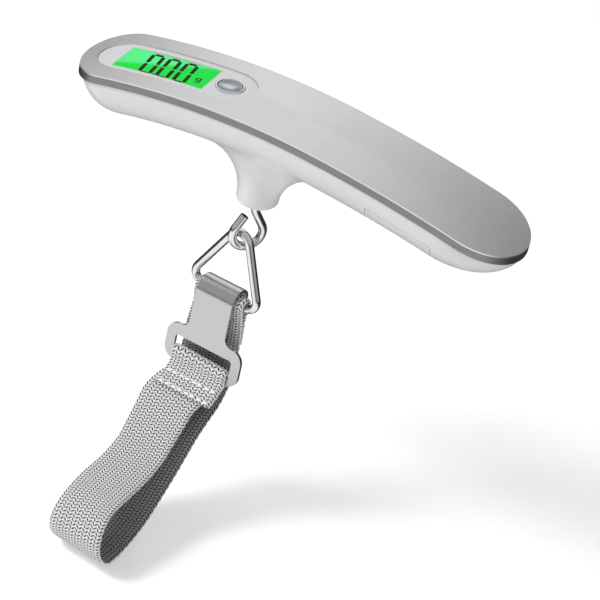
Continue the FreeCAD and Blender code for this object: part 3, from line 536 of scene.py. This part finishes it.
def make_back():
    """The webbing's sewn loop round the ring's bar, and the run down behind the buckle."""
    forward, height = BAR.dot(FORWARD), BAR.z
    route = [(forward + ahead, height - below, *rest) for ahead, below, *rest in TAIL]
    for degrees in range(LOOP_FROM, LOOP_TO, LOOP_STEP):
        angle = math.radians(degrees)
        route.append((forward + LOOP_RADIUS * math.cos(angle),
                      height + LOOP_RADIUS * math.sin(angle),
                      LOOP_LATERAL, LOOP_ROLL * (1 - 2 * (degrees / 180)), LOOP_WIDTH, 1))
    route += [(forward + ahead, height - below, *rest) for ahead, below, *rest in LOOP_END]
    # The back run's inner face is painted fully dark, as painted shade.
    route += [(ahead, z, RUN_LATERAL, 0, WIDTH - RUN_TAPER * max(0.0, RUN_TOP - z), 0)
              for ahead, z in BACK_RUN]
    back, length, rows = webbing("webbing_back", route)
    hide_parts("strap_back_run", "strap_bar_loop")
    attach(back, "strap")
    make_stitches("tail", rows, (1.4, 4.6), "strap", 1, from_start=True)
    return length


def make_front(start_along):
    """The bend at the bottom, the run up to the buckle, the fold over its bar and the sewn flap."""
    # The bend's inner face is painted fully dark as shade; up the front run the painted shade eases.
    route = [(ahead, z, lateral, 0, BEND_WIDTH + BEND_TAPER * (lateral - RUN_LATERAL), 0)
             for ahead, z, lateral in BEND]
    route += [(ahead, z, lateral, FRONT_ROLL * number, width, FRONT_PAINTED_LIGHT_STEP * number)
              for number, (ahead, z, lateral, width) in enumerate(FRONT_RUN)]
    route += [(*buckle_spot(back, down), roll, WIDTH, 1) for back, down, roll in FOLD]
    route += [(*spot, WIDTH, 1) for spot in FLAP]
    front, length, rows = webbing("webbing_front", route, start_along)
    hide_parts("strap_bottom_bend", "strap_front_run", "strap_eye", "strap_flap")
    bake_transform(front)
    make_stitches("flap", rows, (0.9, 5.6), "buckle", -1)


# ---------------------------------------------------------------- the stitches
STITCHES, STITCH_PITCH = 8, 2.55
STITCH_REACH, STITCH_RADIUS = 0.95, 0.46  # half a stitch's length, and its thickest radius
STITCH_LIFT, STITCH_BULGE = 0.74, 0.25  # of its ends above the webbing's middle, and of its middle
CAPSULE_SIDES, CAPSULE_RINGS = 8, 8


def capsule(start, end, radius, bulge):
    """Vertices and faces of one plump stitch lying from start to end."""
    way = end - start
    length = way.length
    way = way.normalized()
    side = way.orthogonal().normalized()
    third = way.cross(side)
    vertices = []
    for ring in range(CAPSULE_RINGS):
        share = ring / (CAPSULE_RINGS - 1)
        swell = radius * math.sqrt(max(0.02, 1 - abs(2 * share - 1) ** 2.6))
        centre = start + way * length * share + bulge * math.sin(math.pi * share)
        for number in range(CAPSULE_SIDES):
            angle = 2 * math.pi * number / CAPSULE_SIDES
            vertices.append(centre + (side * math.cos(angle) + third * math.sin(angle)) * swell)
    return vertices, tube_faces(CAPSULE_RINGS, CAPSULE_SIDES)


def make_stitches(label, rows, places, body, face, from_start=False):
    """Rows of slightly uneven white stitches, at distances from one end of the webbing."""
    for order, distance in enumerate(places):
        step = round(distance / ROW_STEP)
        at_row = step if from_start else len(rows) - 1 - step
        centre, side_way, normal, tangent = row_frame(rows, at_row)
        normal = normal * face
        centre = centre + normal * STITCH_LIFT
        vertices, faces = [], []
        for number in range(STITCHES):
            uneven = 0.15 * math.sin(number * 3.3 + order)
            across = (number - (STITCHES - 1) / 2) * STITCH_PITCH + uneven
            lean = tangent * (0.16 * math.sin(number * 2.1 + order))
            more, shape = capsule(centre + side_way * (across - STITCH_REACH) + lean,
                                  centre + side_way * (across + STITCH_REACH) - lean,
                                  STITCH_RADIUS, normal * STITCH_BULGE)
            offset = len(vertices)
            vertices += more
            faces += [tuple(corner + offset for corner in corners) for corners in shape]
        piece = new_piece(f"stitches_{label}_{order + 1}", vertices, faces, LOOKS["thread"])
        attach(piece, body)


# ---------------------------------------------------------------- button and ring
BUTTON_ALONG = -16.8
CAP_RADIUS, DISH_RADIUS = 3.95, 3.45
DISH_BOTTOM, DISH_RISE = -0.85, 0.62
DISH_PARTS = 12
LATHE_SIDES = 96


def lathe(name, profile, place, material):
    """A closed turned piece from (radius, height) pairs, the first and last on the axis or equal."""
    vertices = []
    for radius, height in profile:
        for number in range(LATHE_SIDES):
            angle = 2 * math.pi * number / LATHE_SIDES
            spot = Vector((radius * math.cos(angle), radius * math.sin(angle), height))
            vertices.append(place @ spot)
    piece = new_piece(name, vertices, side_faces(len(profile), LATHE_SIDES), material)
    merged = bmesh.new()
    merged.from_mesh(piece.data)
    bmesh.ops.remove_doubles(merged, verts=merged.verts, dist=1e-7)
    bmesh.ops.recalc_face_normals(merged, faces=merged.faces)
    merged.to_mesh(piece.data)
    merged.free()
    return piece


def make_button():
    """A dished chrome button inside a thin polished ring."""
    place = arch_place(BUTTON_ALONG)
    dish = [(DISH_RADIUS * part / DISH_PARTS, DISH_BOTTOM + DISH_RISE * (part / DISH_PARTS) ** 2)
            for part in range(DISH_PARTS + 1)]
    rim = [(3.6, -0.17), (3.72, -0.18), (3.86, -0.27), (CAP_RADIUS, -0.44)]
    body = [(CAP_RADIUS, -1.9), (4.5, -1.9), (4.5, -2.4), (1.3, -2.4), (1.3, -3.2), (0, -3.2)]
    button = lathe("button_cap", dish + rim + body, place, LOOKS["button"])
    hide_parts("power_button")
    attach(button, "button")
    outline = [(4.75, -1.05), (4.75, -0.25), (4.68, -0.12), (4.55, -0.05), (4.4, -0.03),
               (4.25, -0.06), (4.13, -0.16), (4.08, -0.3), (4.08, -1.05), (4.75, -1.05)]
    ring = lathe("button_bezel", outline, place, LOOKS["ring"])
    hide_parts("button_ring")
    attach(ring, "handle")


# ---------------------------------------------------------------- the display's figures
FIGURES_ALONG, FIGURES_DEPTH = -39.65, 0.97  # where the figures' plane is on the handle
FIGURE_LEFTS = (-6.6, -0.5, 5.6)
FIGURE_BASE, FIGURE_HEIGHT, FIGURE_WIDTH = -6.4, 12.6, 4.95
SEGMENT, SEGMENT_CUT = 1.3, 0.14  # a segment's thickness, and the gap at each of its ends
LEAN = -0.11  # sideways shift of the figures for each mm of height
POINT_LEFT, POINT_RIGHT = -2.1, -1.0
POINT_BELOW, POINT_ABOVE = 0.55, 0.6  # the base line
LETTER_X, LETTER_Y, LETTER_SIZE = 12.9, -1.9, 0.9


def make_figures():
    """Seven-segment zeros with a point, and a small unit letter, in the display's plane."""
    place = arch_place(FIGURES_ALONG, FIGURES_DEPTH)
    vertices, faces = [], []

    def add(outline):
        offset = len(vertices)
        vertices.extend(place @ Vector((x + LEAN * (y - FIGURE_BASE), y, 0)) for x, y in outline)
        faces.append(tuple(range(offset, offset + len(outline))))

    half, across = FIGURE_HEIGHT / 2, FIGURE_WIDTH - SEGMENT
    for left in FIGURE_LEFTS:
        for x in (left, left + FIGURE_WIDTH - SEGMENT):
            add(segment_outline(x, FIGURE_BASE, half, upright=True))
            add(segment_outline(x, FIGURE_BASE + half, half, upright=True))
        for y in (FIGURE_BASE, FIGURE_BASE + FIGURE_HEIGHT):
            add(segment_outline(left, y, across, upright=False))
    low, high = FIGURE_BASE - POINT_BELOW, FIGURE_BASE + POINT_ABOVE
    add([(POINT_LEFT, low), (POINT_RIGHT, low), (POINT_RIGHT, high), (POINT_LEFT, high)])
    add_letter(add, LETTER_X, LETTER_Y, LETTER_SIZE)
    piece = new_piece("display_figures", vertices, faces, LOOKS["ink"], smooth=False)
    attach(piece, "handle")


def segment_outline(x, y, length, upright):
    """Corners of a display segment with pointed ends, from (x, y) up or to the right."""
    half = SEGMENT / 2
    cut = SEGMENT_CUT
    outline = ((cut, 0), (cut + half, half), (length - cut - half, half), (length - cut, 0),
               (length - cut - half, -half), (cut + half, -half))
    return [(x + side, y + along) if upright else (x + along, y + side) for along, side in outline]


def add_letter(add, x, y, size):
    """A small g: a ring, a stem and a hooked tail, in short wedges."""
    outer, inner, drop = 1.15 * size, 0.58 * size, 1.5 * size

    def wedges(y_centre, parts, turn, squash):
        for number in range(parts):
            first, second = (turn * (number + step) / parts for step in (0, 1))
            corners = ((outer, first), (outer, second), (inner, second), (inner, first))
            add([(x + radius * math.cos(angle), y_centre + radius * squash * math.sin(angle))
                 for radius, angle in corners])

    wedges(y, 20, 2 * math.pi, 1)
    add([(x + inner, y - drop), (x + outer, y - drop), (x + outer, y + outer), (x + inner, y + outer)])
    wedges(y - drop, 8, -0.89 * math.pi, 0.87)


# ---------------------------------------------------------------- floor, light and camera
FLOOR_HEIGHT = -153.0  # just under the strap at rest
FLOOR_REACH = 6  # metres each way
FLOOR_GLOW = 0.26


def make_floor():
    """A plain pale floor with a little light of its own, left out of shiny surfaces."""
    mesh = bpy.data.meshes.new("floor")
    reach, low = FLOOR_REACH, FLOOR_HEIGHT * MM
    corners = [(-reach, -reach, low), (reach, -reach, low), (reach, reach, low), (-reach, reach, low)]
    mesh.from_pydata(corners, [], [(0, 1, 2, 3)])
    floor = bpy.data.objects.new("floor", mesh)
    bpy.context.scene.collection.objects.link(floor)
    paper = Nodes("floor_paper", 0.0, 0.85, Specular_IOR_Level=0.1)
    tooth = paper.noise(60, 2)
    paper.colour(paper.ramp(tooth, (0.3, grey(0.93)), (0.7, grey(0.95))))
    paper.shader.inputs["Emission Color"].default_value = (1, 1, 1, 1)
    paper.shader.inputs["Emission Strength"].default_value = FLOOR_GLOW
    mesh.materials.append(paper.material)
    floor.visible_glossy = False


def make_light(name, at, toward, size, power):
    """A square lamp aimed at a place, in metres and watts, left out of shiny surfaces."""
    light = bpy.data.lights.new(name, "AREA")
    light.shape = "RECTANGLE"
    light.size, light.size_y = size, size
    light.energy = power
    lamp = bpy.data.objects.new(name, light)
    lamp.location = at
    lamp.rotation_euler = (Vector(toward) - Vector(at)).to_track_quat("-Z", "Y").to_euler()
    lamp.visible_glossy = False
    bpy.context.scene.collection.objects.link(lamp)


PANEL_WAY = (-0.31, 0.78, 0.55)  # high behind, to the left
PANEL_LIGHT = 0.62


def make_world():
    """Studio surroundings: bright low in front, grey above, dark low behind, and one bright spot."""
    world = bpy.data.worlds.new("studio")
    world.use_nodes = True
    tree = world.node_tree
    direction = tree.nodes.new("ShaderNodeTexCoord").outputs["Generated"]
    split = tree.nodes.new("ShaderNodeSeparateXYZ")
    tree.links.new(direction, split.inputs[0])

    def math_node(operation, first, second=None):
        node = tree.nodes.new("ShaderNodeMath")
        node.operation = operation
        for number, value in enumerate((first, second)):
            if isinstance(value, (int, float)):
                node.inputs[number].default_value = value
            elif value is not None:
                tree.links.new(value, node.inputs[number])
        return node.outputs[0]

    def smooth(value, low, high, start, end):
        node = tree.nodes.new("ShaderNodeMapRange")
        node.interpolation_type = "SMOOTHSTEP"
        for key, number in (("From Min", low), ("From Max", high), ("To Min", start), ("To Max", end)):
            node.inputs[key].default_value = number
        tree.links.new(value, node.inputs["Value"])
        return node.outputs[0]

    facing = tree.nodes.new("ShaderNodeVectorMath")
    facing.operation = "DOT_PRODUCT"
    facing.inputs[1].default_value = Vector(PANEL_WAY).normalized()
    tree.links.new(direction, facing.inputs[0])
    panel = smooth(facing.outputs["Value"], 0.92, 1.0, 0.0, PANEL_LIGHT)
    x, y, z = split.outputs["X"], split.outputs["Y"], split.outputs["Z"]

    # Above the horizon: grey in front, and behind it fades from left to right.
    behind = math_node("MULTIPLY", smooth(z, 0.0, 0.5, 0.34, 0.55),
                       smooth(x, -0.3, 0.32, 1.0, 0.24))
    behind = math_node("MULTIPLY", behind, smooth(y, -0.15, 0.35, 0.0, 1.0))
    above = math_node("ADD", behind, smooth(y, -0.15, 0.35, 0.48, 0.0))

    # Below it: bright only in front, and dark just under the horizon and far to either side.
    below = math_node("MULTIPLY", smooth(y, -0.35, 0.4, 1.1, 0.08),
                      smooth(z, -0.30, -0.08, 1.0, 0.10))
    below = math_node("MULTIPLY", below, smooth(math_node("ABSOLUTE", x), 0.65, 0.92, 1.0, 0.12))

    low = smooth(z, -0.06, 0.06, 1.0, 0.0)
    high = smooth(z, -0.06, 0.06, 0.0, 1.0)
    base = math_node("ADD", math_node("MULTIPLY", above, high), math_node("MULTIPLY", below, low))
    total = math_node("ADD", base, panel)
    background = tree.nodes["Background"]
    tree.links.new(total, background.inputs["Strength"])
    background.inputs["Color"].default_value = (1.0, 1.0, 1.0, 1)
    bpy.context.scene.world = world


CAMERA_AT = (280.16, -717.37, 469.80)
AZIMUTH, ELEVATION, CAMERA_ROLL = 19.8, 35.1, 12.8  # degrees
SENSOR, LENS = 36, 172.26


def make_camera():
    """The product view: from the right front and above, rolled, through a long lens."""
    azimuth, elevation, roll = (math.radians(a) for a in (AZIMUTH, ELEVATION, CAMERA_ROLL))
    back = Vector((math.sin(azimuth) * math.cos(elevation),
                   -math.cos(azimuth) * math.cos(elevation), math.sin(elevation)))
    right = Vector((math.cos(azimuth), math.sin(azimuth), 0))
    up = back.cross(right)
    across = right * math.cos(roll) + up * math.sin(roll)
    upward = up * math.cos(roll) - right * math.sin(roll)
    data = bpy.data.cameras.new("product_view")
    data.sensor_width = SENSOR
    data.lens = LENS
    data.clip_start, data.clip_end = 0.05, 30
    camera = bpy.data.objects.new("product_view", data)
    matrix = Matrix((across, upward, back)).transposed().to_4x4()
    matrix.translation = Vector(CAMERA_AT) * MM
    camera.matrix_world = matrix
    bpy.context.scene.collection.objects.link(camera)
    bpy.context.scene.camera = camera


dress_nodes()
make_camera()
make_floor()
make_world()
make_light("key", (-0.9, -0.55, 1.0), (0, 0, -0.05), 0.36, 12.0)
make_light("top", (-0.3, 0.3, 1.4), (0, 0, -0.1), 0.6, 3.0)
make_light("fill", (0.9, -0.9, 0.5), (0, 0, -0.06), 0.9, 0.3)
bpy.context.scene.view_settings.view_transform = "Standard"
for node in ("top_plate", "buckle_plate"):
    soften(node, 0.22)
make_front(make_back())
make_button()
make_figures()
